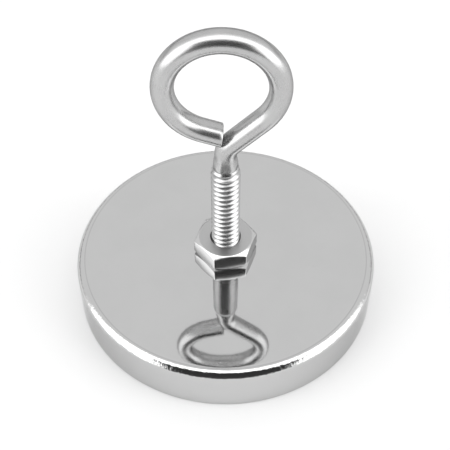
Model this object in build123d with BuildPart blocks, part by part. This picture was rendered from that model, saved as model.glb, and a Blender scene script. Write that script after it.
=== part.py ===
"""Round-base magnet with an open eye bolt.

A ferrite ring is bonded into a shallow drawn-steel cup. An eye bolt bent from wire stands on the cup's centre,
held by one nut on the cup's top and by a split washer and a second nut inside the ring's bore.

Millimetres, +Z up. The origin is the centre of the cup's rim, on the working face.
"""

from math import atan2, cos, degrees, floor, hypot, radians, sin, sqrt
import os

from build123d import *

# Cup
cup_diameter = 51.6
cup_height = 8.3  # rim to the top sheet at its edge, before rounding
crown_rise = 0.8  # how far the middle of the top stands above its edge
sheet = 1.3
edge_radius = 1.7  # outer rounding between the top and the wall
inner_edge_radius = 0.7
rim_break = 0.2

# Ring magnet, bonded and potted into the cup
magnet_bore = 19.0
magnet_recess = 0.1  # magnet face above the rim
magnet_break = 0.3
bond_thickness = 0.15  # at the ring's outer edge, where it is thinnest
potting_width = 2.0
potting_recess = 0.5

# Thread of the eye bolt and its nuts
thread_major = 4.8
thread_pitch = 25.4 / 24
thread_depth = 0.6134 * thread_pitch
thread_clearance = 0.04  # radial, between the bolt's thread and a nut's
root_share = 0.8  # width of the ridge at its root, in pitches
crest_share = 0.125  # width of the ridge at its crest, in pitches
root_sink = 0.05  # how far the ridge reaches into the core

# Nuts
nut_across_flats = 9.525
nut_thickness = 3.175
nut_face_diameter = 9.0  # flat ring that the corner chamfer leaves on each face
nut_chamfer_angle = 30
nut_mouth_depth = 0.4  # 45 degree countersink at each end of the hole
nut_mouth_margin = 0.15  # countersink's edge beyond the thread's crest
upper_nut_turn = 10  # direction of one corner, from +X
lower_nut_turn = 24

# Split lock washer
washer_clearance = 0.1  # radial, round the thread
washer_width = 1.7
washer_thickness = 1.2
washer_gap = 0.7
washer_gap_slant = 25

# Stack
hole_clearance = 0.08  # radial, bolt thread in the cup's centre hole
seat_gap = 0.02  # between stacked faces that turn on each other
point_length = 0.6  # bolt beyond the lower nut
point_chamfer = 0.3

# Eye bolt above the cup: heights are from the middle of the cup's top
thread_height = 18.9
shank_diameter = 4.0
shank_height = 20.7
neck_height = 22.7
wire_thickness = 3.55  # of the eye's wire, across the eye
wire_width = 4.1  # of the eye's wire, along the rope's way through
neck_radius = 3.6
eye_radius = 8.75  # centreline
eye_height = 36.1
eye_offset = -0.6
eye_end_angle = 250  # where the round of the eye ends, from +X about its centre
eye_tail = 3.15  # straight stretch up to the cut end

# Worked out from the sizes above
cup_radius = cup_diameter / 2
crown_radius = (cup_radius**2 + crown_rise**2) / (2 * crown_rise)
cup_top = cup_height + crown_rise
magnet_radius = cup_radius - sheet - potting_width
hole_radius = thread_major / 2 + hole_clearance
core_radius = thread_major / 2 - thread_depth
washer_radius = thread_major / 2 + washer_clearance + washer_width


def crown(radius, depth=0.0):
    """Height of the crowned sheet at a radius, a depth below its outer face."""
    return cup_top - crown_radius + sqrt((crown_radius - depth) ** 2 - radius**2)


def crown_arc(inner, outer, depth=0.0):
    """Arc of the crowned sheet between two radii, from the outer one inwards."""
    middle = (inner + outer) / 2
    ThreePointArc(
        (outer, crown(outer, depth)),
        (middle, crown(middle, depth)),
        (inner, crown(inner, depth)),
    )


bore_radius = magnet_bore / 2
magnet_top = crown(magnet_radius, sheet) - bond_thickness
upper_seat = crown(hole_radius) + seat_gap
washer_top = crown(washer_radius, sheet) - seat_gap
washer_seat = washer_top - washer_thickness
lower_seat = washer_seat - seat_gap - nut_thickness
bolt_end = lower_seat - point_length
thread_start = bolt_end + root_share * thread_pitch
thread_end = cup_top + thread_height

os.makedirs("parts", exist_ok=True)

# Cup: drawn sheet with a crowned top, a rounded edge and a centre hole
with BuildPart() as pot_shell:
    with BuildSketch(Plane.XZ) as shell_profile:
        with BuildLine():
            wall_inside = cup_radius - sheet
            crown_arc(hole_radius, cup_radius)
            Line((hole_radius, crown(hole_radius)), (hole_radius, crown(hole_radius, sheet)))
            crown_arc(hole_radius, wall_inside, sheet)
            Line((wall_inside, crown(wall_inside, sheet)), (wall_inside, 0))
            Line((wall_inside, 0), (cup_radius, 0))
            Line((cup_radius, 0), (cup_radius, cup_height))
        make_face()
        corners = shell_profile.vertices()
        fillet(corners.sort_by_distance((cup_radius, cup_height))[0], edge_radius)
        corners = shell_profile.vertices()
        fillet(corners.sort_by_distance((wall_inside, crown(wall_inside, sheet)))[0], inner_edge_radius)
        corners = shell_profile.vertices()
        chamfer(corners.sort_by_distance((cup_radius, 0))[0], rim_break)
    revolve(axis=Axis.Z)

# Ring magnet: flat ferrite ring with broken edges
with BuildPart() as ring_magnet:
    with BuildSketch(Plane.XY.offset(magnet_recess)):
        Circle(magnet_radius)
        Circle(bore_radius, mode=Mode.SUBTRACT)
    extrude(amount=magnet_top - magnet_recess)
    chamfer(ring_magnet.edges().filter_by(GeomType.CIRCLE), magnet_break)

# Bond layer: adhesive between the flat ring and the crowned sheet
with BuildPart() as bond_layer:
    with BuildSketch(Plane.XZ):
        with BuildLine():
            crown_arc(bore_radius, magnet_radius, sheet)
            Line((bore_radius, crown(bore_radius, sheet)), (bore_radius, magnet_top))
            Line((bore_radius, magnet_top), (magnet_radius, magnet_top))
            Line((magnet_radius, magnet_top), (magnet_radius, crown(magnet_radius, sheet)))
        make_face()
    revolve(axis=Axis.Z)

# Potting ring: resin between the ring and the wall, up to the sheet
with BuildPart() as potting_ring:
    with BuildSketch(Plane.XZ) as potting_profile:
        with BuildLine():
            crown_arc(magnet_radius, wall_inside, sheet)
            Line((magnet_radius, crown(magnet_radius, sheet)), (magnet_radius, potting_recess))
            Line((magnet_radius, potting_recess), (wall_inside, potting_recess))
            Line((wall_inside, potting_recess), (wall_inside, crown(wall_inside, sheet)))
        make_face()
        corners = potting_profile.vertices()
        fillet(corners.sort_by_distance((wall_inside, crown(wall_inside, sheet)))[0], inner_edge_radius)
    revolve(axis=Axis.Z)


def thread_ridge(start, length, growth=0.0):
    """One right-hand ridge wound on the core, wider and taller by a clearance where it cuts a nut."""
    with BuildLine() as coil:
        Helix(pitch=thread_pitch, height=length, radius=core_radius, center=(0, 0, start))
    half_root = root_share * thread_pitch / 2 + growth
    half_crest = crest_share * thread_pitch / 2 + growth / 2
    height = thread_depth + growth
    with BuildSketch(Plane(origin=coil.line @ 0, x_dir=(1, 0, 0), z_dir=coil.line % 0)) as section:
        Polygon(
            (-root_sink, -half_root),
            (height, -half_crest),
            (height, half_crest),
            (-root_sink, half_root),
            align=None,
        )
    sweep(section.sketch, path=coil.line, is_frenet=True)


def nut_tap(seat):
    """What a nut's threaded hole removes, in phase with the bolt and one turn longer than the nut each way."""
    turns_below = floor((seat - thread_start) / thread_pitch) - 1
    turns = floor(nut_thickness / thread_pitch) + 4
    tap_start = thread_start + turns_below * thread_pitch
    with BuildPart() as tap:
        with BuildSketch(Plane.XY.offset(tap_start - thread_pitch)):
            Circle(core_radius + thread_clearance)
        extrude(amount=(turns + 2) * thread_pitch)
        thread_ridge(tap_start, turns * thread_pitch, thread_clearance)
    return tap


def hex_nut(seat, turn):
    """Thin hexagon nut chamfered on both faces, its thread in phase with the bolt's."""
    top = seat + nut_thickness
    corner_radius = nut_across_flats / sqrt(3)
    face_radius = nut_face_diameter / 2
    corner_drop = (corner_radius - face_radius) * sin(radians(nut_chamfer_angle))
    mouth_radius = thread_major / 2 + nut_mouth_margin
    with BuildPart() as nut:
        with BuildSketch(Plane.XY.offset(seat)):
            RegularPolygon(corner_radius, 6, rotation=turn)
        extrude(amount=nut_thickness)
        with BuildSketch(Plane.XZ):
            with BuildLine():
                Polyline(
                    (0, seat),
                    (face_radius, seat),
                    (corner_radius, seat + corner_drop),
                    (corner_radius, top - corner_drop),
                    (face_radius, top),
                    (0, top),
                    close=True,
                )
            make_face()
        revolve(axis=Axis.Z, mode=Mode.INTERSECT)
        add(nut_tap(seat).part, mode=Mode.SUBTRACT)
        for face, inward in ((seat, 1), (top, -1)):
            with BuildSketch(Plane.XZ):
                with BuildLine():
                    Polyline(
                        (0, face),
                        (mouth_radius, face),
                        (mouth_radius - nut_mouth_depth, face + inward * nut_mouth_depth),
                        (0, face + inward * nut_mouth_depth),
                        close=True,
                    )
                make_face()
            revolve(axis=Axis.Z, mode=Mode.SUBTRACT)
    return nut


# Upper nut: seats on the cup's top
top_nut = hex_nut(upper_seat, upper_nut_turn)

# Lower nut: inside the ring's bore, under the split washer
lower_nut = hex_nut(lower_seat, lower_nut_turn)

# Split lock washer: between the lower nut and the underside of the sheet
with BuildPart() as lock_washer:
    with BuildSketch(Plane.XY.offset(washer_seat)):
        Circle(washer_radius)
        Circle(thread_major / 2 + washer_clearance, mode=Mode.SUBTRACT)
    extrude(amount=washer_thickness)
    gap_plane = Plane(origin=(washer_radius, 0, washer_seat + washer_thickness / 2), z_dir=(1, 0, 0))
    with BuildSketch(gap_plane.rotated((0, 0, washer_gap_slant))):
        Rectangle(washer_gap, 4 * washer_thickness)
    extrude(amount=-2 * washer_width, mode=Mode.SUBTRACT)

# Eye bolt: threaded core, plain shank, neck blend, eye of slightly flattened wire
neck_start = cup_top + neck_height
eye_middle = (eye_offset, cup_top + eye_height)
neck_middle = (neck_radius, neck_start)
across = eye_middle[0] - neck_middle[0]
along = eye_middle[1] - neck_middle[1]
leg_length = sqrt(hypot(across, along) ** 2 - (neck_radius + eye_radius) ** 2)
leg_heading = atan2(along, across) - atan2(neck_radius + eye_radius, leg_length)
lean = 90 - degrees(leg_heading)  # the straight leg's angle from upright
leg_start = (
    neck_radius - neck_radius * cos(radians(lean)),
    neck_start + neck_radius * sin(radians(lean)),
)
leg_end = (
    leg_start[0] + leg_length * cos(leg_heading),
    leg_start[1] + leg_length * sin(leg_heading),
)

with BuildPart() as eye_bolt:
    with BuildSketch(Plane.XY.offset(bolt_end)):
        Circle(core_radius)
    extrude(amount=thread_end - bolt_end)
    chamfer(eye_bolt.edges().sort_by(Axis.Z)[0], point_chamfer)
    thread_ridge(thread_start, thread_end - root_share * thread_pitch - thread_start)
    with BuildSketch(Plane.XY.offset(thread_end)):
        Circle(shank_diameter / 2)
    extrude(amount=shank_height - thread_height)
    with BuildSketch(Plane.XY.offset(cup_top + shank_height)):
        Circle(shank_diameter / 2)
    with BuildSketch(Plane.XY.offset(neck_start)):
        Ellipse(wire_thickness / 2, wire_width / 2)
    loft()
    with BuildLine(Plane.XZ) as eye_path:
        CenterArc(neck_middle, neck_radius, 180, -lean)
        Line(leg_start, leg_end)
        CenterArc(eye_middle, eye_radius, -lean, eye_end_angle + lean)
        tail = eye_path.line @ 1
        end_turn = radians(eye_end_angle)
        Line(
            (tail.X, tail.Z),
            (tail.X - eye_tail * sin(end_turn), tail.Z + eye_tail * cos(end_turn)),
        )
    with BuildSketch(Plane.XY.offset(neck_start)):
        Ellipse(wire_thickness / 2, wire_width / 2)
    sweep(path=eye_path.line)

for name, piece in (
    ("pot_shell", pot_shell),
    ("ring_magnet", ring_magnet),
    ("bond_layer", bond_layer),
    ("potting_ring", potting_ring),
    ("eye_bolt", eye_bolt),
    ("top_nut", top_nut),
    ("lock_washer", lock_washer),
    ("lower_nut", lower_nut),
):
    piece.part.label = name
    export_step(piece.part, f"parts/{name}.step")
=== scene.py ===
"""Looks of a round-base magnet with an open eye bolt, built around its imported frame.

Metres, +Z up, with the origin at the centre of the cup's rim, on the working face.
"""

from math import asin, atan2, ceil, cos, floor, hypot, pi, radians, sin, sqrt, tan

import bmesh
import bpy
from bpy.props import FloatProperty, FloatVectorProperty, IntProperty, PointerProperty
from bpy.types import Operator, Panel, PropertyGroup
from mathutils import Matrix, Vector, noise


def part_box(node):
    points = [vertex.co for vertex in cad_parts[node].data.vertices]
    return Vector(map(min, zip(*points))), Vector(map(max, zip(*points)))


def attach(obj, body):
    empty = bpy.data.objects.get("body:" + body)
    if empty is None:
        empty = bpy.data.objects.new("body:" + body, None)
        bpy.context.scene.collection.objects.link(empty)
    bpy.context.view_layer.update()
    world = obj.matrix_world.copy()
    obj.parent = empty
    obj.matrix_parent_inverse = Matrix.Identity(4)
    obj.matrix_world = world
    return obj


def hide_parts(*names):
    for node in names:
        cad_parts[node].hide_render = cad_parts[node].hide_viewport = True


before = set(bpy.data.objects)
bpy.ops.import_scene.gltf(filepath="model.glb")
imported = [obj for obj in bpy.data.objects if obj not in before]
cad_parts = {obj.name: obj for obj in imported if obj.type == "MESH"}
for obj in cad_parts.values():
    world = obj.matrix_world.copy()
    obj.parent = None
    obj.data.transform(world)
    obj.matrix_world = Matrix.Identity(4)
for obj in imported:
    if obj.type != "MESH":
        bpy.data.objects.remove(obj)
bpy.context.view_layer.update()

bl_info = {
    "name": "Eye Bolt Magnet",
    "version": (1, 0, 0),
    "blender": (4, 5, 0),
    "location": "View3D > Sidebar > Magnet",
    "description": "Builds the plated cup, eye bolt, nuts, washer, ferrite ring and resin of a magnet",
    "category": "Object",
}

MM = 0.001
WELD = 0.0005 * MM  # vertices closer than this are one vertex
NEAR = 0.01 * MM  # heights closer than this are the same height

cup_low, cup_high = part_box("pot_shell")
bolt_low, bolt_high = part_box("eye_bolt")
top_nut_low, top_nut_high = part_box("top_nut")
lower_nut_low, lower_nut_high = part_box("lower_nut")
washer_low, washer_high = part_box("lock_washer")
magnet_low, magnet_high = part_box("ring_magnet")
potting_low, potting_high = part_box("potting_ring")


def length(name, description, default):
    """A length that a user may change, in metres."""
    return FloatProperty(
        name=name, description=description, default=default, min=0.0, unit="LENGTH", precision=5
    )


def angle(name, description, default):
    """An angle that a user may change, given in degrees."""
    return FloatProperty(name=name, description=description, default=radians(default), unit="ROTATION")


def share(name, description, default):
    """A share between nothing and all."""
    return FloatProperty(
        name=name, description=description, default=default, min=0.0, max=1.0, subtype="FACTOR"
    )


def colour(name, description, default):
    """A surface colour."""
    return FloatVectorProperty(
        name=name, description=description, default=default, size=3, min=0.0, max=1.0, subtype="COLOR"
    )


def count(name, description, default):
    """A whole number of steps or pieces."""
    return IntProperty(name=name, description=description, default=default, min=3)


class CupSettings(PropertyGroup):
    """Sizes and finish of the drawn cup."""

    diameter: length("Diameter", "Outer diameter of the wall", 2 * cup_high.x)
    edge_height: length("Edge Height", "Rim to the top sheet at its edge, before rounding", 8.3 * MM)
    crown_rise: length("Crown Rise", "How far the middle of the top stands above its edge", 0.8 * MM)
    sheet: length("Sheet", "Thickness of the sheet", 1.3 * MM)
    # The thin dark line along this crease is painted shade, laid on by the plating's colour.
    top_radius: length("Top Radius", "Where the crowned top ends in a faint crease", 24.4 * MM)
    lead_radius: length("Lead Radius", "First rounding, next to the crease", 1.45 * MM)
    turn_radius: length("Turn Radius", "Last rounding, where the edge meets the wall", 0.7 * MM)
    lead_lean: angle("Lead Lean", "Lean of the surface where the first rounding ends", 31)
    turn_lean: angle("Turn Lean", "Lean of the surface where the last rounding starts", 61)
    inner_edge_radius: length("Inner Edge Radius", "Inner rounding under the top", 0.7 * MM)
    rim_break: length("Rim Break", "Rounding at the rim", 0.25 * MM)
    hole_diameter: length("Hole Diameter", "Centre hole for the bolt", 4.96 * MM)
    steps: count("Steps", "Faces round the cup", 288)
    plate: colour("Plate", "Colour of the bright plating", (0.605, 0.605, 0.605))
    polish: share("Roughness", "Roughness of the bright plating", 0.045)


class ThreadSettings(PropertyGroup):
    """The thread that the bolt and both nuts share."""

    major: length("Major Diameter", "Outer diameter of the bolt's thread", 4.8 * MM)
    pitch: length("Pitch", "Distance from one ridge to the next", 25.4 / 24 * MM)
    depth: length("Depth", "Height of the ridge", 0.6134 * 25.4 / 24 * MM)
    clearance: length("Clearance", "Radial gap between the bolt's thread and a nut's", 0.04 * MM)
    root_share: share("Root Share", "Width of the ridge at its root, in pitches", 0.8)
    crest_share: share("Crest Share", "Width of the ridge at its crest, in pitches", 0.125)
    corner: length("Corner", "Softening of the ridge's corners", 0.04 * MM)
    steps: count("Steps", "Faces in each turn", 96)


class BoltSettings(PropertyGroup):
    """Sizes and finish of the eye bolt."""

    shank_diameter: length("Shank Diameter", "Plain shank above the thread", 4.0 * MM)
    point: length("Point", "Chamfer at the bolt's end", 0.3 * MM)
    thread_end: length("Thread End", "Height at which the thread is still full", 27.4 * MM)
    run_out: length("Run-out", "Length over which the thread fades away", 2.1 * MM)
    shank_end: length("Shank End", "Height at which the shank starts to turn oval", 29.8 * MM)
    neck_start: length("Neck Start", "Height at which the neck starts to bend", 31.8 * MM)
    wire_thickness: length("Wire Thickness", "Wire of the eye, across the eye", 3.55 * MM)
    wire_width: length("Wire Width", "Wire of the eye, along the rope's way through", 4.1 * MM)
    neck_radius: length("Neck Radius", "Bend between the shank and the eye", 3.6 * MM)
    eye_radius: length("Eye Radius", "Centreline radius of the eye", 8.75 * MM)
    eye_offset: length("Eye Offset", "How far the eye's centre lies to the open side", 0.6 * MM)
    eye_end: angle("Eye End", "Where the round of the eye ends, about its centre", 250)
    tail: length("Tail", "Straight stretch up to the cut end", 3.15 * MM)
    cut_lean: angle("Cut Lean", "Lean of the sheared end from upright", 8)
    burr: length("Burr", "Rounding of the sheared end's edge", 0.12 * MM)
    plate: colour("Plate", "Colour of the plating on the wire", (0.54, 0.54, 0.54))
    polish: share("Roughness", "Roughness of the plating on the wire", 0.28)


class NutSettings(PropertyGroup):
    """Sizes and finish of both hexagon nuts."""

    across_flats: length("Across Flats", "Width over two opposite flats", 9.525 * MM)
    face_diameter: length("Face Diameter", "Flat ring that the corner chamfer leaves", 9.0 * MM)
    chamfer: angle("Chamfer", "Slope of the corner chamfer", 30)
    mouth: length("Mouth", "Countersink's edge beyond the thread's crest", 0.26 * MM)
    edge_break: length("Edge Break", "Rounding of the corners and edges", 0.09 * MM)
    upper_turn: angle("Upper Turn", "Direction of one corner of the upper nut, from +X", 10)
    lower_turn: angle("Lower Turn", "Direction of one corner of the lower nut, from +X", 24)
    steps: count("Steps", "Faces round the chamfer", 144)
    plate: colour("Plate", "Colour of the bright plating", (0.62, 0.62, 0.62))
    polish: share("Roughness", "Roughness of the bright plating", 0.2)


class WasherSettings(PropertyGroup):
    """Sizes and finish of the split lock washer."""

    bore: length("Bore", "Inner diameter", 5.0 * MM)
    gap: length("Gap", "Width of the split", 0.7 * MM)
    slant: angle("Slant", "Slant of the split", 25)
    edge_break: length("Edge Break", "Rounding of the edges", 0.12 * MM)
    steps: count("Steps", "Faces round the washer", 144)
    steel: colour("Steel", "Colour of the plated spring steel", (0.52, 0.52, 0.53))
    polish: share("Roughness", "Roughness of the spring steel", 0.28)


class MagnetSettings(PropertyGroup):
    """Sizes and finish of the ferrite ring."""

    bore: length("Bore", "Diameter of the hole through the ring", 19.0 * MM)
    edge_break: length("Edge Break", "Chamfer on the edges", 0.3 * MM)
    chip: length("Chip", "Depth of the chips along the edges", 0.16 * MM)
    steps: count("Steps", "Faces round the ring", 360)
    ferrite: colour("Ferrite", "Colour of the fired ferrite", (0.045, 0.045, 0.048))
    polish: share("Roughness", "Roughness of the ground ferrite", 0.52)


class PottingSettings(PropertyGroup):
    """Sizes and finish of the resin round the ring."""

    creep: length("Creep", "How far the resin climbs at its two edges", 0.22 * MM)
    wave: length("Wave", "Unevenness of the cured surface", 0.1 * MM)
    steps: count("Steps", "Faces round the resin", 360)
    resin: colour("Resin", "Colour of the cured potting resin", (0.025, 0.026, 0.028))
    polish: share("Roughness", "Roughness of the cured resin", 0.22)


class StageSettings(PropertyGroup):
    """Camera, floor and light."""

    distance: length("Distance", "Camera in front of the magnet's axis", 110.93 * MM)
    height: length("Height", "Camera above the floor", 140.52 * MM)
    tilt: angle("Tilt", "How far the camera looks down", 48.51)
    lens: FloatProperty(name="Lens", description="Focal length", default=79.24, unit="CAMERA")
    aside: length("Aside", "Camera to the left of the middle", 0.1 * MM)
    floor_size: length("Floor", "Width of the floor", 3.0)
    floor: colour("Floor Colour", "Colour of the floor", (0.66, 0.66, 0.66))
    floor_glow: share("Floor Glow", "Light that the floor gives back by itself", 0.16)
    backdrop: share("Backdrop", "Brightness of the pale backdrop", 0.9)
    softbox: FloatProperty(name="Softbox", description="Brightness of the light overhead", default=2.6, min=0)


# Modelling by hand: everything below works on the piece that is being edited


def leave_editing():
    """Ends editing and leaves nothing selected."""
    if bpy.context.object and bpy.context.object.mode != "OBJECT":
        bpy.ops.object.mode_set(mode="OBJECT")
    bpy.ops.object.select_all(action="DESELECT")


def edit(piece, mode="VERT"):
    """Opens a piece for editing, with nothing on it selected."""
    leave_editing()
    piece.select_set(True)
    bpy.context.view_layer.objects.active = piece
    bpy.ops.object.mode_set(mode="EDIT")
    bpy.ops.mesh.select_mode(type=mode)
    bpy.ops.mesh.select_all(action="DESELECT")


def pick(piece, mode, test):
    """Selects the vertices, edges or faces that pass a test, and nothing else."""
    bpy.ops.mesh.select_mode(type=mode)
    bpy.ops.mesh.select_all(action="DESELECT")
    shape = bmesh.from_edit_mesh(piece.data)
    kinds = {"VERT": shape.verts, "EDGE": shape.edges, "FACE": shape.faces}
    picked = [item for item in kinds[mode] if test(item)]
    for item in picked:
        item.select_set(True)
    shape.select_flush_mode()
    bmesh.update_edit_mesh(piece.data)
    return len(picked)


def reshape(piece, move):
    """Moves every vertex to where a rule sends it."""
    shape = bmesh.from_edit_mesh(piece.data)
    for vertex in shape.verts:
        vertex.co = move(vertex.co)
    bmesh.update_edit_mesh(piece.data)


def weld(piece):
    """Merges doubled vertices and turns the whole skin outwards."""
    bpy.ops.mesh.select_all(action="SELECT")
    bpy.ops.mesh.remove_doubles(threshold=WELD)
    bpy.ops.mesh.select_all(action="SELECT")
    bpy.ops.mesh.normals_make_consistent(inside=False)


def trim(height, keep_above):
    """Cuts the piece off level at a height."""
    bpy.ops.mesh.select_all(action="SELECT")
    bpy.ops.mesh.bisect(
        plane_co=(0, 0, height),
        plane_no=(0, 0, 1),
        clear_inner=keep_above,
        clear_outer=not keep_above,
        threshold=WELD / 4,
    )


def on_open_ring(height):
    """Test for the open edges at a height."""
    return lambda edge: edge.is_boundary and all(abs(vertex.co.z - height) < NEAR for vertex in edge.verts)


def join(piece, other):
    """Makes two shapes one piece."""
    leave_editing()
    other.select_set(True)
    piece.select_set(True)
    bpy.context.view_layer.objects.active = piece
    bpy.ops.object.join()


def settle(piece, smooth_angle=40):
    """Closes editing, smooths the shading and leaves the piece's place in its mesh."""
    leave_editing()
    piece.select_set(True)
    bpy.context.view_layer.objects.active = piece
    bpy.ops.object.transform_apply(location=True, rotation=True, scale=True)
    bpy.ops.object.shade_smooth_by_angle(angle=radians(smooth_angle))
    piece.select_set(False)


def apply_modifier(piece, kind, name, **settings):
    """Adds a modifier with its settings and applies it."""
    leave_editing()
    piece.select_set(True)
    bpy.context.view_layer.objects.active = piece
    modifier = piece.modifiers.new(name, kind)
    for key, value in settings.items():
        setattr(modifier, key, value)
    bpy.ops.object.modifier_apply(modifier=modifier.name)


class Outline:
    """A profile in the plane y = 0, drawn by extruding and spinning one vertex."""

    def __init__(self, name, x, z):
        leave_editing()
        bpy.ops.mesh.primitive_circle_add(vertices=3, radius=MM)
        self.piece = bpy.context.object
        self.piece.name = self.piece.data.name = name
        bpy.ops.object.mode_set(mode="EDIT")
        bpy.ops.mesh.select_mode(type="VERT")
        bpy.ops.mesh.merge(type="CENTER")
        bpy.ops.transform.translate(value=(x, 0, z))
        self.x, self.z = x, z

    def line(self, x, z, pieces=1):
        """Straight stretch to a point."""
        step = Vector((x - self.x, 0, z - self.z)) / pieces
        for _ in range(pieces):
            bpy.ops.mesh.extrude_vertices_move(TRANSFORM_OT_translate={"value": step})
        self.x, self.z = x, z

    def arc(self, x, z, turn, steps):
        """Arc about a centre, positive from +Z towards +X."""
        bpy.ops.mesh.spin(steps=steps, angle=turn, center=(x, 0, z), axis=(0, -1, 0))
        dx, dz = self.x - x, self.z - z
        self.x = x + dx * cos(turn) + dz * sin(turn)
        self.z = z - dx * sin(turn) + dz * cos(turn)

    def revolve(self, steps, turn=2 * pi):
        """Spins the whole profile about the upright axis."""
        bpy.ops.mesh.select_all(action="SELECT")
        bpy.ops.mesh.spin(steps=steps, angle=turn, center=(0, 0, 0), axis=(0, 0, 1))
        weld(self.piece)
        return self.piece


# Finishes


class Link:
    """An output of a node: plain arithmetic on it adds Math nodes."""

    def __init__(self, nodes, socket):
        self.nodes, self.socket = nodes, socket

    def __add__(self, other):
        return self.nodes.maths("ADD", self, other)

    def __radd__(self, other):
        return self.nodes.maths("ADD", other, self)

    def __sub__(self, other):
        return self.nodes.maths("SUBTRACT", self, other)

    def __rsub__(self, other):
        return self.nodes.maths("SUBTRACT", other, self)

    def __mul__(self, other):
        return self.nodes.maths("MULTIPLY", self, other)

    def __rmul__(self, other):
        return self.nodes.maths("MULTIPLY", other, self)


class Nodes:
    """One node tree and the few ways in which this file adds nodes to it."""

    def __init__(self, tree):
        self.tree = tree
        tree.nodes.clear()

    def add(self, kind, settings=None, sockets=None, output=0):
        """Adds a node: its settings first, then the values or links of its sockets."""
        node = self.tree.nodes.new(kind)
        for key, value in (settings or {}).items():
            setattr(node, key, value)
        for key, value in (sockets or {}).items():
            if isinstance(value, Link):
                self.tree.links.new(value.socket, node.inputs[key])
            else:
                node.inputs[key].default_value = value
        return Link(self, node.outputs[output]) if node.outputs else None

    def maths(self, operation, first, second=0.0):
        """One Math node."""
        return self.add("ShaderNodeMath", {"operation": operation}, {0: first, 1: second})

    def place(self):
        """X, Y and Z on the piece, in metres."""
        spot = self.add("ShaderNodeTexCoord", output="Object")
        return [self.add("ShaderNodeSeparateXYZ", {}, {0: spot}, output=axis) for axis in range(3)]

    def vector(self, x, y, z):
        """A vector from three numbers."""
        return self.add("ShaderNodeCombineXYZ", {}, {0: x, 1: y, 2: z})

    def noise(self, vector, scale, detail=2.0, roughness=0.5, distortion=0.0):
        """Soft noise between about 0.25 and 0.75."""
        values = {"Vector": vector, "Scale": scale, "Detail": detail, "Roughness": roughness}
        values["Distortion"] = distortion
        return self.add("ShaderNodeTexNoise", {}, values)

    def cells(self, vector, scale, randomness=1.0):
        """Distance to the nearest of scattered points."""
        values = {"Vector": vector, "Scale": scale, "Randomness": randomness}
        return self.add("ShaderNodeTexVoronoi", {}, values)

    def fade(self, value, start, end, low=0.0, high=1.0):
        """Smooth change from low to high as a value goes from start to end."""
        return self.add(
            "ShaderNodeMapRange",
            {"interpolation_type": "SMOOTHSTEP"},
            {"Value": value, "From Min": start, "From Max": end, "To Min": low, "To Max": high},
        )

    def mix(self, factor, first, second):
        """A colour between two colours."""
        first = first if isinstance(first, Link) else (*first, 1)
        second = second if isinstance(second, Link) else (*second, 1)
        return self.add("ShaderNodeMix", {"data_type": "RGBA"}, {0: factor, 6: first, 7: second}, output=2)

    def bump(self, height, distance, below=None):
        """Relief of a height field, on top of another relief."""
        sockets = {"Strength": 1.0, "Distance": distance, "Height": height}
        if below is not None:
            sockets["Normal"] = below
        return self.add("ShaderNodeBump", {}, sockets)


def finish_material(name, build, **constants):
    """A material whose changing values come from a function and whose fixed ones are set on the shader."""
    material = bpy.data.materials.new(name)
    material.use_nodes = True
    nodes = Nodes(material.node_tree)
    sockets = dict(constants)
    sockets.update(build(nodes))
    surface = nodes.add("ShaderNodeBsdfPrincipled", {}, sockets)
    nodes.add("ShaderNodeOutputMaterial", {}, {"Surface": surface})
    return material


def dress(piece, material):
    """Gives a piece its only material."""
    piece.data.materials.clear()
    piece.data.materials.append(material)


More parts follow.
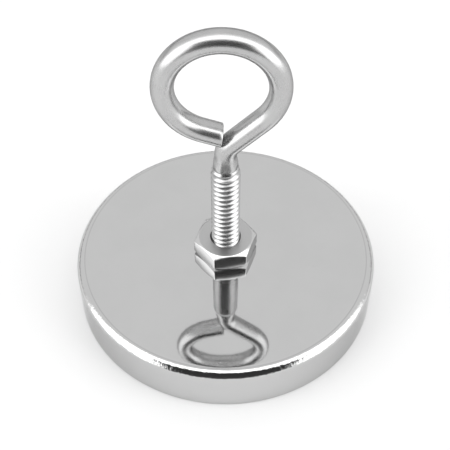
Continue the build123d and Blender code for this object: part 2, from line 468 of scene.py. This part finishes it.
def bright_plate(name, plate, polish, turned, waviness, grain=1.0, edge=None, dull_top=None):
    """Bright nickel plating over turned or drawn steel.

    turned is how strongly fine rings show about the upright axis, and waviness the height of the soft
    unevenness that plating keeps from the steel under it. edge is the radius of a crease, along which a thin
    line of painted shade darkens the plate, and outside which the rounded edge is rougher than the rest, down
    to a height. dull_top is the height of a level face that is duller than the rest.
    """

    def build(nodes):
        x, y, z = nodes.place()
        spot = nodes.vector(x, y, z)
        radius = nodes.maths("SQRT", x * x + y * y)
        around = nodes.maths("ARCTAN2", y, x)
        rings = nodes.noise(nodes.vector(radius * (5.0 / MM), around * 1.5, z * (5.0 / MM)), 1.0, 3.0, 0.6)
        cloud = nodes.noise(spot, 0.12 / MM, 3.0, 0.55)
        fine = nodes.noise(spot, 9.0 / MM, 2.0, 0.6)
        soft = nodes.noise(spot, 0.45 / MM, 2.0, 0.5)
        specks = 1 - nodes.fade(nodes.cells(spot, 0.6 / MM), 0.03, 0.07)
        rare = nodes.fade(nodes.noise(spot, 0.5 / MM, 1.0), 0.56, 0.62)
        pits = specks * rare
        tint = nodes.mix(nodes.fade(cloud, 0.35, 0.65), [c * 0.98 for c in plate], plate)
        tint = nodes.mix(pits * 0.35, tint, [c * 0.5 for c in plate])
        rough = polish + (cloud - 0.5) * (0.25 * polish) + (rings - 0.5) * (turned * 0.5 * polish)
        rough = rough + pits * 0.2
        relief = nodes.bump(soft, waviness)
        relief = nodes.bump(rings, 0.00006 * turned * MM, relief)
        relief = nodes.bump(fine, 0.00006 * grain * MM, relief)
        relief = nodes.bump(1 - pits, 0.006 * MM, relief)
        if edge:
            crease_radius, edge_floor = edge
            off_crease = nodes.maths("ABSOLUTE", radius - crease_radius)
            crease = 1 - nodes.fade(off_crease, 0.05 * MM, 0.16 * MM)
            crease = crease * nodes.fade(z, edge_floor, edge_floor + 1 * MM)
            # Painted shade: the plate is darkened in a thin line along the crease.
            tint = nodes.mix(crease * 0.25, tint, [c * 0.5 for c in plate])
            drawn = nodes.fade(radius, crease_radius - 0.05 * MM, crease_radius + 0.7 * MM)
            drawn = drawn * nodes.fade(z, edge_floor - 0.9 * MM, edge_floor + 0.2 * MM)
            peel = nodes.noise(spot, 1.5 / MM, 3.0, 0.62)
            relief = nodes.bump(peel * drawn, 0.05 * MM, relief)
        if dull_top:
            level = nodes.fade(z, dull_top - 0.06 * MM, dull_top - 0.02 * MM)
            rough = rough + level * 0.16
            tint = nodes.mix(level, tint, [c * 0.8 for c in plate])
        return {"Base Color": tint, "Roughness": rough, "Normal": relief}

    return finish_material(name, build, Metallic=1.0, **{"Specular Tint": (0.75, 0.75, 0.75, 1)})


def wire_plate(name, settings, eye_middle):
    """Plated drawn wire: faint lines run round the eye and down the shank, and painted shade darkens the
    thread's grooves.
    """

    def build(nodes):
        x, y, z = nodes.place()
        spot = nodes.vector(x, y, z)
        from_x, from_z = x - eye_middle[0], z - eye_middle[1]
        out = nodes.maths("SQRT", from_x * from_x + from_z * from_z)
        turn = nodes.maths("ARCTAN2", from_z, from_x)
        lines_round = nodes.noise(nodes.vector(out * (4.0 / MM), y * (4.0 / MM), turn * 2.5), 1.0, 2.0)
        lines_down = nodes.noise(nodes.vector(x * (4.0 / MM), y * (4.0 / MM), z * (0.15 / MM)), 1.0, 2.0)
        on_eye = nodes.fade(z, settings.neck_start, settings.neck_start + 3 * MM)
        lines = lines_round * on_eye + lines_down * (1 - on_eye)
        cloud = nodes.noise(spot, 0.25 / MM, 3.0, 0.55)
        soft = nodes.noise(spot, 0.35 / MM, 2.0, 0.45)
        orange = nodes.noise(spot, 1.6 / MM, 2.0, 0.5)
        fine = nodes.noise(spot, 12.0 / MM, 2.0, 0.6)
        radius = nodes.maths("SQRT", x * x + y * y)
        on_thread = nodes.fade(z, settings.thread_end + settings.run_out, settings.thread_end)
        crest, root = 2.3 * MM, 1.85 * MM
        # Painted shade: the plate is darkened from the thread's crest down to its root, in the grooves.
        groove_shade = on_thread * nodes.fade(radius, crest, root)
        plate = list(settings.plate)
        tint = nodes.mix(nodes.fade(cloud, 0.35, 0.65), [c * 0.93 for c in plate], plate)
        tint = nodes.mix(groove_shade * 0.35, tint, [c * 0.35 for c in plate])
        rough = settings.polish + (cloud - 0.5) * 0.06 + (lines - 0.5) * 0.08 - on_thread * 0.06
        relief = nodes.bump(soft, 0.02 * MM)
        relief = nodes.bump(orange, 0.003 * MM, relief)
        relief = nodes.bump(lines, 0.0006 * MM, relief)
        relief = nodes.bump(fine, 0.00015 * MM, relief)
        return {"Base Color": tint, "Roughness": rough, "Normal": relief}

    return finish_material(name, build, Metallic=1.0, **{"Specular Tint": (0.45, 0.45, 0.45, 1)})


def fired_ferrite(name, settings):
    """Ground ferrite: dark grain, faint straight grinding lines and paler chips."""

    def build(nodes):
        x, y, z = nodes.place()
        spot = nodes.vector(x, y, z)
        grain = nodes.noise(spot, 6.0 / MM, 4.0, 0.65)
        cloud = nodes.noise(spot, 0.15 / MM, 3.0, 0.6)
        lines = nodes.noise(nodes.vector(x * (0.02 / MM), y * (5.0 / MM), z * (5.0 / MM)), 1.0, 3.0, 0.6)
        pores = 1 - nodes.fade(nodes.cells(spot, 1.4 / MM), 0.05, 0.14)
        ferrite = list(settings.ferrite)
        tint = nodes.mix(nodes.fade(cloud, 0.3, 0.7), [c * 0.7 for c in ferrite], [c * 1.25 for c in ferrite])
        tint = nodes.mix(nodes.fade(grain, 0.55, 0.75) * 0.5, tint, [c * 2.2 for c in ferrite])
        tint = nodes.mix(pores * 0.7, tint, [c * 0.3 for c in ferrite])
        rough = settings.polish + (grain - 0.5) * 0.3 + (lines - 0.5) * 0.2
        relief = nodes.bump(lines, 0.004 * MM)
        relief = nodes.bump(grain, 0.008 * MM, relief)
        relief = nodes.bump(1 - pores, 0.03 * MM, relief)
        return {"Base Color": tint, "Roughness": rough, "Normal": relief}

    return finish_material(name, build, Metallic=0.0, IOR=2.2)


def cured_resin(name, settings):
    """Poured black resin: glossy, with dust and a few burst bubbles."""

    def build(nodes):
        spot = nodes.add("ShaderNodeTexCoord", output="Object")
        cloud = nodes.noise(spot, 0.2 / MM, 3.0, 0.55)
        dust = nodes.noise(spot, 5.0 / MM, 3.0, 0.7)
        bubbles = 1 - nodes.fade(nodes.cells(spot, 0.7 / MM), 0.06, 0.12)
        resin = list(settings.resin)
        tint = nodes.mix(nodes.fade(cloud, 0.3, 0.7), resin, [c * 1.8 for c in resin])
        tint = nodes.mix(nodes.fade(dust, 0.6, 0.8) * 0.25, tint, (0.2, 0.2, 0.19))
        rough = settings.polish + (cloud - 0.5) * 0.25 + nodes.fade(dust, 0.55, 0.75) * 0.3
        relief = nodes.bump(cloud, 0.05 * MM)
        relief = nodes.bump(1 - bubbles, 0.05 * MM, relief)
        return {"Base Color": tint, "Roughness": rough, "Normal": relief}

    return finish_material(name, build, IOR=1.52)


def cured_adhesive(name):
    """Thin amber adhesive, slightly cloudy."""

    def build(nodes):
        spot = nodes.add("ShaderNodeTexCoord", output="Object")
        cloud = nodes.noise(spot, 0.5 / MM, 4.0, 0.6)
        bubbles = 1 - nodes.fade(nodes.cells(spot, 1.6 / MM), 0.08, 0.2)
        tint = nodes.mix(nodes.fade(cloud, 0.3, 0.7), (0.42, 0.33, 0.16), (0.58, 0.49, 0.28))
        tint = nodes.mix(bubbles * 0.4, tint, (0.75, 0.68, 0.5))
        relief = nodes.bump(cloud, 0.04 * MM)
        relief = nodes.bump(1 - bubbles, 0.04 * MM, relief)
        return {"Base Color": tint, "Roughness": 0.3 + cloud * 0.2, "Normal": relief}

    return finish_material(name, build, IOR=1.5)


def spring_steel(name, settings):
    """Zinc-plated spring steel, a little dull, with rolling marks round the washer."""

    def build(nodes):
        x, y, z = nodes.place()
        spot = nodes.vector(x, y, z)
        radius = nodes.maths("SQRT", x * x + y * y)
        around = nodes.maths("ARCTAN2", y, x)
        rings = nodes.noise(nodes.vector(radius * (6.0 / MM), around * 2.0, z * (6.0 / MM)), 1.0, 3.0, 0.6)
        cloud = nodes.noise(spot, 0.8 / MM, 3.0, 0.6)
        steel = list(settings.steel)
        tint = nodes.mix(nodes.fade(cloud, 0.35, 0.65), [c * 0.8 for c in steel], steel)
        rough = settings.polish + (cloud - 0.5) * 0.2 + (rings - 0.5) * 0.2
        relief = nodes.bump(rings, 0.002 * MM)
        relief = nodes.bump(cloud, 0.01 * MM, relief)
        return {"Base Color": tint, "Roughness": rough, "Normal": relief}

    return finish_material(name, build, Metallic=1.0)


# Pieces


def crown_angle(crown_radius, radius):
    """How far from upright the crown's radius leans where the crown is that far from the axis."""
    return asin(radius / crown_radius)


def cup_outline(cup):
    """The drawn sheet's section: top, rounded edge, wall, rim, inner wall, and back under the top."""
    outer = cup.diameter / 2
    inner = outer - cup.sheet
    hole = cup.hole_diameter / 2
    crown_radius = (outer**2 + cup.crown_rise**2) / (2 * cup.crown_rise)
    crown_middle = cup.edge_height + cup.crown_rise - crown_radius
    under_radius = crown_radius - cup.sheet
    hole_break = 0.08 * MM

    def crown(radius, sheet_radius):
        return crown_middle + sqrt(sheet_radius**2 - radius**2)

    pen = Outline("pot_shell_formed", hole + hole_break, crown(hole + hole_break, crown_radius))
    hole_lean = crown_angle(crown_radius, hole + hole_break)
    edge_lean = crown_angle(crown_radius, cup.top_radius)
    pen.arc(0, crown_middle, edge_lean - hole_lean, 48)
    main_radius = outer - cup.top_radius - cup.lead_radius * (sin(cup.lead_lean) - sin(edge_lean))
    main_radius -= cup.turn_radius * (1 - sin(cup.turn_lean))
    main_radius /= sin(cup.turn_lean) - sin(cup.lead_lean)
    lean = edge_lean
    for radius, end in (
        (cup.lead_radius, cup.lead_lean),
        (main_radius, cup.turn_lean),
        (cup.turn_radius, pi / 2),
    ):
        pen.arc(pen.x - radius * sin(lean), pen.z - radius * cos(lean), end - lean, 8)
        lean = end
    pen.line(outer, pen.z - 0.06 * MM)
    pen.line(outer, cup.rim_break, 6)
    pen.arc(outer - cup.rim_break, cup.rim_break, pi / 2, 4)
    pen.line(inner + cup.rim_break, 0)
    pen.arc(inner + cup.rim_break, cup.rim_break, pi / 2, 4)
    under_lean = crown_angle(under_radius - cup.inner_edge_radius, inner - cup.inner_edge_radius)
    under_edge = crown_middle + (under_radius - cup.inner_edge_radius) * cos(under_lean)
    pen.line(inner, under_edge, 6)
    pen.arc(inner - cup.inner_edge_radius, under_edge, under_lean - pi / 2, 8)
    hole_under_lean = crown_angle(under_radius, hole + hole_break)
    pen.arc(0, crown_middle, hole_under_lean - under_lean, 24)
    pen.line(hole, crown(hole, under_radius) + hole_break)
    pen.line(hole, crown(hole, crown_radius) - hole_break)
    pen.line(hole + hole_break, crown(hole + hole_break, crown_radius))
    return pen


class MAGNET_OT_cup(Operator):
    """Draws the cup's section, revolves it and gives it its bright plating"""

    bl_idname = "magnet.cup"
    bl_label = "Cup"

    def execute(self, context):
        cup = context.scene.magnet_cup
        piece = cup_outline(cup).revolve(cup.steps)
        settle(piece)
        # Along the crease the plating gets a thin line of painted shade.
        edge = (cup.top_radius, cup.edge_height - 1.2 * MM)
        material = bright_plate("bright_cup_plate", list(cup.plate), cup.polish, 1.0, 0.0012 * MM, edge=edge)
        dress(piece, material)
        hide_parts("pot_shell")
        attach(piece, "pot")
        return {"FINISHED"}


def wind_thread(name, thread, low, high, start, growth, limit):
    """Open tube with the thread's ridge wound up it, trimmed level at two heights.

    start is a height at which the ridge's middle crosses +X, growth widens the thread for a nut, and limit
    says how far out a point of the tube goes, from its height and its distance out.
    """
    crest = thread.major / 2 + growth
    core = thread.major / 2 - thread.depth + growth
    half_root = thread.root_share * thread.pitch / 2 + growth / 2
    half_crest = thread.crest_share * thread.pitch / 2 + growth / 2
    soft = thread.corner
    first = start + (floor((low - start) / thread.pitch) - 1) * thread.pitch
    half = [
        (core, thread.pitch / 2),
        (core, half_root + soft),
        (core + soft, half_root - soft),
        (crest - soft, half_crest + soft / 2),
        (crest, half_crest - soft / 2),
    ]
    pen = Outline(name, half[0][0], first - half[0][1])
    for out, up in half[1:]:
        pen.line(out, first - up)
    for out, up in reversed(half):
        pen.line(out, first + up)
    apply_modifier(
        pen.piece,
        "SCREW",
        "wind",
        angle=2 * pi,
        screw_offset=thread.pitch,
        iterations=ceil((high - first) / thread.pitch) + 2,
        steps=thread.steps,
        render_steps=thread.steps,
        use_merge_vertices=True,
        merge_threshold=WELD,
    )
    edit(pen.piece)
    weld(pen.piece)

    def shift(place):
        out = hypot(place.x, place.y)
        scale = limit(place.z, out) / out
        return Vector((place.x * scale, place.y * scale, place.z))

    reshape(pen.piece, shift)
    trim(low, keep_above=True)
    trim(high, keep_above=False)
    return pen.piece


def pull(step):
    """Extrudes what is selected by a step."""
    bpy.ops.mesh.extrude_region_move(TRANSFORM_OT_translate={"value": step})


def shape_eye(piece, bolt, eye_middle):
    """Shank, neck, leg and round of the eye, pulled from the thread's top ring along the wire's path."""
    height = bolt.thread_end + bolt.run_out
    pick(piece, "EDGE", on_open_ring(height))
    pull((0, 0, bolt.shank_end - height))
    thin, wide = bolt.wire_thickness / bolt.shank_diameter, bolt.wire_width / bolt.shank_diameter
    oval_steps, neck_steps, leg_steps, round_steps, tail_steps = 8, 16, 4, 120, 4
    flow = [sin(pi / 2 * i / oval_steps) ** 2 for i in range(oval_steps + 1)]
    step = (bolt.neck_start - bolt.shank_end) / oval_steps
    height = bolt.shank_end
    for before, after in zip(flow, flow[1:]):
        height += step
        pull((0, 0, step))
        across = (1 + (thin - 1) * after) / (1 + (thin - 1) * before)
        along = (1 + (wide - 1) * after) / (1 + (wide - 1) * before)
        bpy.ops.transform.resize(value=(across, along, 1), center_override=(0, 0, height))

    across = eye_middle[0] - bolt.neck_radius
    rise = eye_middle[1] - bolt.neck_start
    both = bolt.neck_radius + bolt.eye_radius
    leg = sqrt(hypot(across, rise) ** 2 - both**2)
    heading = atan2(rise, across) - atan2(both, leg)
    lean = pi / 2 - heading
    neck = (bolt.neck_radius, 0, bolt.neck_start)
    bpy.ops.mesh.spin(steps=neck_steps, angle=lean, center=neck, axis=(0, -1, 0))
    for _ in range(leg_steps):
        pull((leg / leg_steps * cos(heading), 0, leg / leg_steps * sin(heading)))
    turn = bolt.eye_end + lean
    middle = (eye_middle[0], 0, eye_middle[1])
    bpy.ops.mesh.spin(steps=round_steps, angle=turn, center=middle, axis=(0, 1, 0))
    stride = bolt.tail / tail_steps
    for _ in range(tail_steps):
        pull((-stride * sin(bolt.eye_end), 0, stride * cos(bolt.eye_end)))


def cut_end(piece, bolt, eye_middle):
    """Shears the selected end of the wire nearly upright, with a turned-over edge."""
    along = Vector((-sin(bolt.eye_end), 0, cos(bolt.eye_end)))
    spot = Vector((eye_middle[0], 0, eye_middle[1])) + bolt.tail * along
    spot += bolt.eye_radius * Vector((cos(bolt.eye_end), 0, sin(bolt.eye_end)))
    facing = Vector((cos(bolt.cut_lean), 0, -sin(bolt.cut_lean)))
    shape = bmesh.from_edit_mesh(piece.data)
    for vertex in shape.verts:
        if vertex.select:
            vertex.co += along * ((spot - vertex.co).dot(facing) / along.dot(facing))
    bmesh.update_edit_mesh(piece.data)
    turned_over = ((0.5, 0.98), (0.25, 0.96), (0.06, 0.97), (-0.5, 0.9), (-0.1, 0.6))
    for out, scale in turned_over:
        step = out * bolt.burr * facing
        spot += step
        pull(step)
        bpy.ops.transform.resize(value=(scale, scale, scale), center_override=spot)
    bpy.ops.mesh.edge_face_add()


class MAGNET_OT_eye_bolt(Operator):
    """Winds the bolt's thread, pulls the shank and the eye from it, and plates the wire"""

    bl_idname = "magnet.eye_bolt"
    bl_label = "Eye Bolt"

    def execute(self, context):
        bolt, thread = context.scene.magnet_bolt, context.scene.magnet_thread
        eye_middle = (-bolt.eye_offset, bolt_high.z - bolt.eye_radius - bolt.wire_thickness / 2)
        end = bolt_low.z
        start = end + thread.root_share * thread.pitch
        core = thread.major / 2 - thread.depth
        shank = bolt.shank_diameter / 2
        top = bolt.thread_end + bolt.run_out

        late = 1.5  # above 1, the thread fades later in the run-out

        def limit(height, out):
            """Chamfered at the point, and fading into the shank at the run-out."""
            faded = min(max((height - bolt.thread_end) / bolt.run_out, 0), 1)
            out = out + (shank - out) * faded**late if faded < 1 else shank
            return min(out, core - bolt.point + max(height - end, 0))

        piece = wind_thread("eye_bolt_formed", thread, end, top, start, 0.0, limit)
        shape_eye(piece, bolt, eye_middle)
        cut_end(piece, bolt, eye_middle)
        pick(piece, "EDGE", on_open_ring(end))
        bpy.ops.mesh.edge_face_add()
        bpy.ops.mesh.inset(thickness=bolt.point / 2)
        weld(piece)
        settle(piece, smooth_angle=30)
        dress(piece, wire_plate("eye_bolt_plate", bolt, eye_middle))
        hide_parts("eye_bolt")
        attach(piece, "bolt")
        return {"FINISHED"}


def hexagon_nut(name, nut, thread, low, high, turn, start):
    """A nut turned round with both corner chamfers, cut to six flats, and threaded."""
    corner = nut.across_flats / sqrt(3)
    face = nut.face_diameter / 2
    drop = (corner - face) * tan(nut.chamfer)
    mouth = thread.major / 2 + nut.mouth
    mouth_slope = 0.8
    band = 0.03 * MM  # left clear of the corners and of the mouth
    pen = Outline(name, mouth + band, low)
    pen.line(face, low)
    pen.line(corner + band, low + drop)
    pen.line(corner + band, high - drop)
    pen.line(face, high)
    pen.line(mouth + band, high)
    body = pen.revolve(nut.steps)
    for side in range(6):
        facing = turn + radians(30 + 60 * side)
        out = Vector((cos(facing), sin(facing), 0))
        bpy.ops.mesh.select_all(action="SELECT")
        flat = out * nut.across_flats / 2
        bpy.ops.mesh.bisect(plane_co=flat, plane_no=out, clear_outer=True, use_fill=True, threshold=WELD / 4)
    weld(body)

    def is_outer_corner(edge):
        return edge.is_manifold and edge.calc_face_angle() > radians(12)

    pick(body, "EDGE", is_outer_corner)
    bpy.ops.mesh.bevel(offset=nut.edge_break, segments=3, affect="EDGES", clamp_overlap=True)

    def mouths(height, out):
        """Opens the hole to a countersink at both faces."""
        return max(out, mouth - mouth_slope * min(height - low, high - height))

    tube = wind_thread(name + "_thread", thread, low, high, start, thread.clearance, mouths)
    join(body, tube)
    edit(body)
    for height in (low, high):
        pick(body, "EDGE", on_open_ring(height))
        bpy.ops.mesh.fill()
    weld(body)
    settle(body, smooth_angle=30)
    return body


class MAGNET_OT_nuts(Operator):
    """Turns, cuts and threads both hexagon nuts and plates them"""

    bl_idname = "magnet.nuts"
    bl_label = "Hexagon Nuts"

    def execute(self, context):
        nut, thread = context.scene.magnet_nut, context.scene.magnet_thread
        start = bolt_low.z + thread.root_share * thread.pitch
        top = top_nut_high.z
        plate = list(nut.plate)
        material = bright_plate("bright_nut_plate", plate, nut.polish, 0.6, 0.003 * MM, 3.0, dull_top=top)
        for node, body, low, high, turn in (
            ("top_nut", "upper_nut", top_nut_low.z, top_nut_high.z, nut.upper_turn),
            ("lower_nut", "bolt", lower_nut_low.z, lower_nut_high.z, nut.lower_turn),
        ):
            piece = hexagon_nut(node + "_formed", nut, thread, low, high, turn, start)
            dress(piece, material)
            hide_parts(node)
            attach(piece, body)
        return {"FINISHED"}


class MAGNET_OT_lock_washer(Operator):
    """Coils the split lock washer and cuts its slanted split"""

    bl_idname = "magnet.lock_washer"
    bl_label = "Lock Washer"

    def execute(self, context):
        washer = context.scene.magnet_washer
        low, high = washer_low.z, washer_high.z
        bore, outer, soft = washer.bore / 2, washer_high.y, washer.edge_break
        pen = Outline("lock_washer_formed", bore + soft, low)
        pen.line(outer - soft, low)
        pen.arc(outer - soft, low + soft, -pi / 2, 4)
        pen.line(outer, high - soft)
        pen.arc(outer - soft, high - soft, -pi / 2, 4)
        pen.line(bore + soft, high)
        pen.arc(bore + soft, high - soft, -pi / 2, 4)
        pen.line(bore, low + soft)
        pen.arc(bore + soft, low + soft, -pi / 2, 4)
        piece = pen.revolve(washer.steps)
        middle = Vector((0, 0, (low + high) / 2))
        across = Vector((0, cos(washer.slant), sin(washer.slant)))
        for side in (-1, 1):
            out = across * side
            pick(piece, "FACE", lambda face: face.calc_center_median().x > 0)
            bpy.ops.mesh.bisect(plane_co=middle + out * washer.gap / 2, plane_no=out, threshold=WELD / 4)

        def in_split(face):
            spot = face.calc_center_median()
            return spot.x > 0 and abs((spot - middle).dot(across)) < washer.gap / 2

        pick(piece, "FACE", in_split)
        bpy.ops.mesh.delete(type="FACE")
        for side in (-1, 1):
            pick(piece, "EDGE", lambda edge: edge.is_boundary and all(v.co.y * side > 0 for v in edge.verts))
            bpy.ops.mesh.edge_face_add()
        weld(piece)
        settle(piece)
        dress(piece, spring_steel("plated_spring_steel", washer))
        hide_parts("lock_washer")
        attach(piece, "washer")
        return {"FINISHED"}


class MAGNET_OT_ring_magnet(Operator):
    """Presses the ferrite ring, chamfers its edges and chips them"""

    bl_idname = "magnet.ring_magnet"
    bl_label = "Ring Magnet"

    def execute(self, context):
        magnet = context.scene.magnet_ring
        low, high, outer = magnet_low.z, magnet_high.z, magnet_high.x
        bore, soft = magnet.bore / 2, magnet.edge_break
        pen = Outline("ring_magnet_ground", bore + soft, low)
        pen.line(outer - soft, low, 24)
        pen.line(outer, low + soft, 3)
        pen.line(outer, high - soft, 6)
        pen.line(outer - soft, high, 3)
        pen.line(bore + soft, high, 24)
        pen.line(bore, high - soft, 3)
        pen.line(bore, low + soft, 12)
        pen.line(bore + soft, low, 3)
        piece = pen.revolve(magnet.steps)

        def chipped(place):
            """Breaks small shallow flakes out of the edges of the working face."""
            out = hypot(place.x, place.y)
            edge = min(abs(out - bore), abs(out - outer)) + abs(place.z - low)
            near = max(0.0, 1 - edge / (3 * soft))
            flake = max(0.0, noise.noise(place / (1.1 * MM)) - 0.12) * near
            grain = noise.noise(place / (0.3 * MM)) * 0.02 * MM * near
            inwards = (bore + outer) / 2 - out
            slide = Vector((place.x, place.y, 0)) / out * (1 if inwards > 0 else -1)
            return place + (slide + Vector((0, 0, 1))) * (flake * 3 * magnet.chip + max(grain, 0))

        reshape(piece, chipped)
        settle(piece, smooth_angle=30)
        dress(piece, fired_ferrite("fired_ferrite", magnet))
        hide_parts("ring_magnet")
        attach(piece, "pot")
        return {"FINISHED"}


class MAGNET_OT_potting_ring(Operator):
    """Pours the resin between the ring magnet and the wall"""

    bl_idname = "magnet.potting_ring"
    bl_label = "Potting Ring"

    def execute(self, context):
        potting, cup = context.scene.magnet_potting, context.scene.magnet_cup
        inner, outer = magnet_high.x, potting_high.x
        low, high = potting_low.z, potting_high.z
        middle, half = (inner + outer) / 2, (outer - inner) / 2
        top = high - 0.05 * MM
        wall_top = high - cup.inner_edge_radius - 0.1 * MM
        pen = Outline("potting_ring_poured", inner, low)
        pen.line(outer, low, 16)
        pen.line(outer, wall_top, 4)
        pen.line(outer - cup.inner_edge_radius, top, 4)
        pen.line(inner, top)
        pen.line(inner, low, 6)
        piece = pen.revolve(potting.steps)

        def poured(place):
            """Climbs both edges in a meniscus, and ripples a little between them."""
            if place.z >= low + WELD:
                return place
            across = abs((hypot(place.x, place.y) - middle) / half)
            climb = across**3 * potting.creep
            ripple = (noise.noise(place / (2.5 * MM)) + 0.4 * noise.noise(place / (0.9 * MM))) * potting.wave
            return place + Vector((0, 0, ripple * (1 - across**4) - climb + 0.5 * potting.creep))

        reshape(piece, poured)
        settle(piece, smooth_angle=50)
        dress(piece, cured_resin("cured_resin", potting))
        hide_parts("potting_ring")
        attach(piece, "pot")
        return {"FINISHED"}


class MAGNET_OT_bond_layer(Operator):
    """Gives the adhesive between the ring and the cup its finish"""

    bl_idname = "magnet.bond_layer"
    bl_label = "Bond Layer"

    def execute(self, context):
        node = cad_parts["bond_layer"]
        node.data.materials.clear()
        node.data.materials.append(cured_adhesive("cured_adhesive"))
        return {"FINISHED"}


# Where the studio light changes, by the part of a direction that points across (x), away (y) or up (z):
# each pair says where the change starts and where it ends
DIM_SIDES = (0.56, 0.70)
DIM_FRONT = (-0.38, -0.45)
DIM_RISE = (0.0, 0.3)
ARCH_BACK = (0.22, 0.06)
ARCH_FRONT = (-0.85, -0.6)
HORIZON = (0.06, 0.16)
HORIZON_BACK = (0.25, 0.45)


class MAGNET_OT_stage(Operator):
    """Sets the pale floor, the soft studio light and the camera"""

    bl_idname = "magnet.stage"
    bl_label = "Floor, Light and Camera"

    def execute(self, context):
        stage = context.scene.magnet_stage
        self.lay_floor(stage)
        self.light(context.scene, stage)
        self.aim_camera(context.scene, stage)
        return {"FINISHED"}

    def lay_floor(self, stage):
        """A wide level floor."""
        leave_editing()
        bpy.ops.mesh.primitive_plane_add(size=stage.floor_size, location=(0, 0, 0))
        floor_piece = bpy.context.object
        floor_piece.name = "floor"
        bpy.ops.object.mode_set(mode="EDIT")
        bpy.ops.mesh.subdivide(number_cuts=20)
        leave_editing()

        def build(nodes):
            spot = nodes.add("ShaderNodeTexCoord", output="Object")
            cloud = nodes.noise(spot, 6.0, 2.0)
            pale = list(stage.floor)
            return {"Base Color": nodes.mix(cloud, pale, [c * 0.985 for c in pale])}

        constants = {"Roughness": 0.9, "Emission Color": (1, 1, 1, 1), "Emission Strength": stage.floor_glow}
        constants["Specular IOR Level"] = 0.1
        floor_piece.data.materials.append(finish_material("pale_floor", build, **constants))

    def light(self, scene, stage):
        """Soft light all round: bright overhead, pale behind, dim in front and darker at the far horizon."""
        surroundings = bpy.data.worlds.new("studio")
        surroundings.use_nodes = True
        nodes = Nodes(surroundings.node_tree)
        aim = nodes.add("ShaderNodeTexCoord", output="Generated")
        x, y, z = [nodes.add("ShaderNodeSeparateXYZ", {}, {0: aim}, output=axis) for axis in range(3)]
        dim_middle, dim_low, dim_high, horizon_loss = 0.03, 0.16, 0.05, 0.75
        middle = 1 - nodes.fade(nodes.maths("ABSOLUTE", x - dim_middle), *DIM_SIDES)
        dim = middle * nodes.fade(y, *DIM_FRONT)
        arch = nodes.fade(y, *ARCH_BACK) * nodes.fade(y, *ARCH_FRONT)
        gap = (1 - nodes.fade(nodes.maths("ABSOLUTE", z), *HORIZON)) * nodes.fade(y, *HORIZON_BACK)
        lit = (stage.backdrop + (stage.softbox - stage.backdrop) * arch) * (1 - gap * horizon_loss)
        glow = lit * (1 - dim) + dim * nodes.fade(z, *DIM_RISE, dim_low, dim_high)
        seen = nodes.add("ShaderNodeLightPath", output="Is Camera Ray")
        level = glow * (1 - seen) + seen
        light = nodes.add("ShaderNodeBackground", {}, {"Color": (1, 1, 1, 1), "Strength": level})
        nodes.add("ShaderNodeOutputWorld", {}, {"Surface": light})
        scene.world = surroundings
        scene.view_settings.view_transform = "Standard"

    def aim_camera(self, scene, stage):
        """A camera that looks down on the magnet from the front."""
        leave_editing()
        place = (-stage.aside, -stage.distance, stage.height)
        bpy.ops.object.camera_add(location=place, rotation=(pi / 2 - stage.tilt, 0, 0))
        camera = bpy.context.object
        camera.name = "camera"
        camera.data.lens = stage.lens
        camera.data.sensor_width = 36
        camera.data.clip_start = 0.005
        scene.camera = camera


SETTINGS = {
    "magnet_cup": CupSettings,
    "magnet_thread": ThreadSettings,
    "magnet_bolt": BoltSettings,
    "magnet_nut": NutSettings,
    "magnet_washer": WasherSettings,
    "magnet_ring": MagnetSettings,
    "magnet_potting": PottingSettings,
    "magnet_stage": StageSettings,
}
STEPS = (
    MAGNET_OT_stage,
    MAGNET_OT_cup,
    MAGNET_OT_eye_bolt,
    MAGNET_OT_nuts,
    MAGNET_OT_lock_washer,
    MAGNET_OT_ring_magnet,
    MAGNET_OT_bond_layer,
    MAGNET_OT_potting_ring,
)


class MAGNET_PT_build(Panel):
    """The steps that build the magnet, in order"""

    bl_idname = "MAGNET_PT_build"
    bl_label = "Eye Bolt Magnet"
    bl_space_type = "VIEW_3D"
    bl_region_type = "UI"
    bl_category = "Magnet"

    def draw(self, context):
        for step in STEPS:
            self.layout.operator(step.bl_idname)


def register():
    """Adds the settings, the steps and the panel."""
    for name, settings in SETTINGS.items():
        bpy.utils.register_class(settings)
        setattr(bpy.types.Scene, name, PointerProperty(type=settings))
    for step in (*STEPS, MAGNET_PT_build):
        bpy.utils.register_class(step)


def unregister():
    """Removes them again."""
    for step in (MAGNET_PT_build, *reversed(STEPS)):
        bpy.utils.unregister_class(step)
    for name, settings in reversed(SETTINGS.items()):
        delattr(bpy.types.Scene, name)
        bpy.utils.unregister_class(settings)


def main():
    """Builds every piece in order."""
    register()
    for step in STEPS:
        group, name = step.bl_idname.split(".")
        getattr(getattr(bpy.ops, group), name)()


if __name__ == "__main__":
    main()
